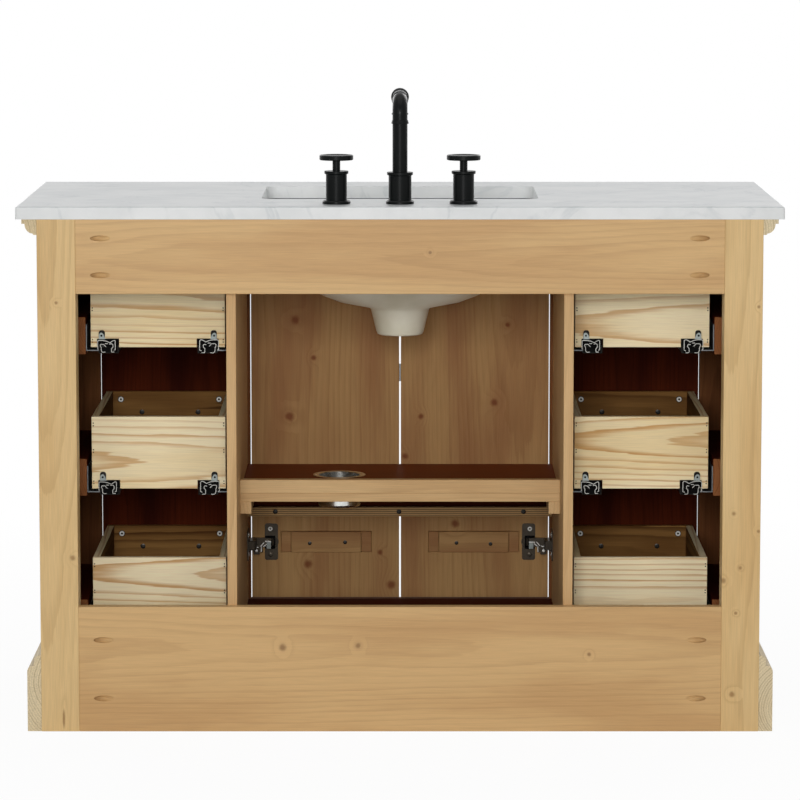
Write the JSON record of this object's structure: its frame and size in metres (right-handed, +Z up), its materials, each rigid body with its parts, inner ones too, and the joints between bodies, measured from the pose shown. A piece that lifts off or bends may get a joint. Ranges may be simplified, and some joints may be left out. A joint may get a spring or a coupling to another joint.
{
  "type": "bathroom vanity unit",
  "caption": "Pine bathroom vanity with an open back, drawer banks beside a two-door centre bay, marble counter, undermount bowl and a black widespread faucet.",
  "frame": {"origin": "on the floor under the middle of the countertop", "axes": "+Z up, front faces -Y, +X to the right seen from the front"},
  "size_m": [1.219, 0.559, 1.0244],
  "materials": {
    "marble": "polished, soft grey veins",
    "sink_china": "glazed inside, dull glaze below",
    "clip_steel": "zinc plated",
    "faucet_black": "matt black powder coat on brass",
    "nut_brass": "plain",
    "washed_pine": "grey-washed outside, raw or stained inside",
    "pine": "clear satin lacquer over knotty pine",
    "stained_pine": "dark red-brown stain",
    "drawer_pine": "raw, light",
    "plywood": "raw",
    "cup_steel": "spun stainless steel",
    "slide_steel": "zinc plated",
    "hinge_steel": "dark nickel",
    "latch_black": "matt black",
    "pull_black": "matt black"
  },
  "bodies": {
    "cabinet": {"countertop": "marble", "sink": "sink_china", "sink_clips": "clip_steel", "spout_base": "faucet_black", "valve_bodies": "faucet_black", "faucet_nuts": "nut_brass", "crown_moulding": "washed_pine", "base_plinth": "washed_pine", "rear_posts": "pine", "back_top_rail": "pine", "back_bottom_rail": "pine", "side_frames": "washed_pine", "side_panels": "washed_pine", "face_frame": "washed_pine", "partitions": "stained_pine", "cabinet_floor": "stained_pine", "shelf": "stained_pine", "shelf_lip": "pine", "shelf_cleats": "pine", "shelf_cup": "cup_steel", "door_stop": "plywood", "slide_cleats": "stained_pine", "slide_rails": "slide_steel", "hinge_arms": "hinge_steel"},
    "spout_body": {"spout": "faucet_black"},
    "right_handle_body": {"right_handle": "faucet_black"},
    "left_handle_body": {"left_handle": "faucet_black"},
    "right_door_body": {"right_door": "washed_pine", "right_door_batten": "pine", "right_hinge_cups": "hinge_steel", "door_latch": "latch_black"},
    "left_door_body": {"left_door": "washed_pine", "left_door_batten": "pine", "left_hinge_cups": "hinge_steel", "latch_keeper": "latch_black"},
    "right_bottom_drawer": {"right_bottom_drawer_box": "drawer_pine", "right_bottom_drawer_front": "washed_pine", "right_bottom_drawer_pull": "pull_black", "right_bottom_drawer_runners": "slide_steel"},
    "right_middle_drawer": {"right_middle_drawer_box": "drawer_pine", "right_middle_drawer_front": "washed_pine", "right_middle_drawer_pull": "pull_black", "right_middle_drawer_runners": "slide_steel"},
    "right_top_drawer": {"right_top_drawer_box": "drawer_pine", "right_top_drawer_front": "washed_pine", "right_top_drawer_pull": "pull_black", "right_top_drawer_runners": "slide_steel"},
    "left_bottom_drawer": {"left_bottom_drawer_box": "drawer_pine", "left_bottom_drawer_front": "washed_pine", "left_bottom_drawer_pull": "pull_black", "left_bottom_drawer_runners": "slide_steel"},
    "left_middle_drawer": {"left_middle_drawer_box": "drawer_pine", "left_middle_drawer_front": "washed_pine", "left_middle_drawer_pull": "pull_black", "left_middle_drawer_runners": "slide_steel"},
    "left_top_drawer": {"left_top_drawer_box": "drawer_pine", "left_top_drawer_front": "washed_pine", "left_top_drawer_pull": "pull_black", "left_top_drawer_runners": "slide_steel"}
  },
  "joints": [
    {"name": "right_door_hinge", "type": "hinge", "parent": "cabinet", "child": "right_door_body", "pos_m": [0.256, -0.2475, 0.458], "axis": [0, 0, 1], "range_deg": [0, 90]},
    {"name": "left_door_hinge", "type": "hinge", "parent": "cabinet", "child": "left_door_body", "pos_m": [-0.256, -0.2475, 0.458], "axis": [0, 0, -1], "range_deg": [0, 90]},
    {"name": "spout_swivel", "type": "hinge", "parent": "cabinet", "child": "spout_body", "pos_m": [0, 0.2135, 0.895], "axis": [0, 0, 1], "range_deg": [-60, 60]},
    {"name": "right_handle_turn", "type": "hinge", "parent": "cabinet", "child": "right_handle_body", "pos_m": [0.1016, 0.2135, 0.895], "axis": [0, 0, 1], "range_deg": [-90, 0]},
    {"name": "left_handle_turn", "type": "hinge", "parent": "cabinet", "child": "left_handle_body", "pos_m": [-0.1016, 0.2135, 0.895], "axis": [0, 0, 1], "range_deg": [0, 90]},
    {"name": "right_bottom_drawer_slide", "type": "slide", "parent": "cabinet", "child": "right_bottom_drawer", "axis": [0, -1, 0], "range_m": [0, 0.26]},
    {"name": "right_middle_drawer_slide", "type": "slide", "parent": "cabinet", "child": "right_middle_drawer", "axis": [0, -1, 0], "range_m": [0, 0.26]},
    {"name": "right_top_drawer_slide", "type": "slide", "parent": "cabinet", "child": "right_top_drawer", "axis": [0, -1, 0], "range_m": [0, 0.26]},
    {"name": "left_bottom_drawer_slide", "type": "slide", "parent": "cabinet", "child": "left_bottom_drawer", "axis": [0, -1, 0], "range_m": [0, 0.26]},
    {"name": "left_middle_drawer_slide", "type": "slide", "parent": "cabinet", "child": "left_middle_drawer", "axis": [0, -1, 0], "range_m": [0, 0.26]},
    {"name": "left_top_drawer_slide", "type": "slide", "parent": "cabinet", "child": "left_top_drawer", "axis": [0, -1, 0], "range_m": [0, 0.26]}
  ]
}
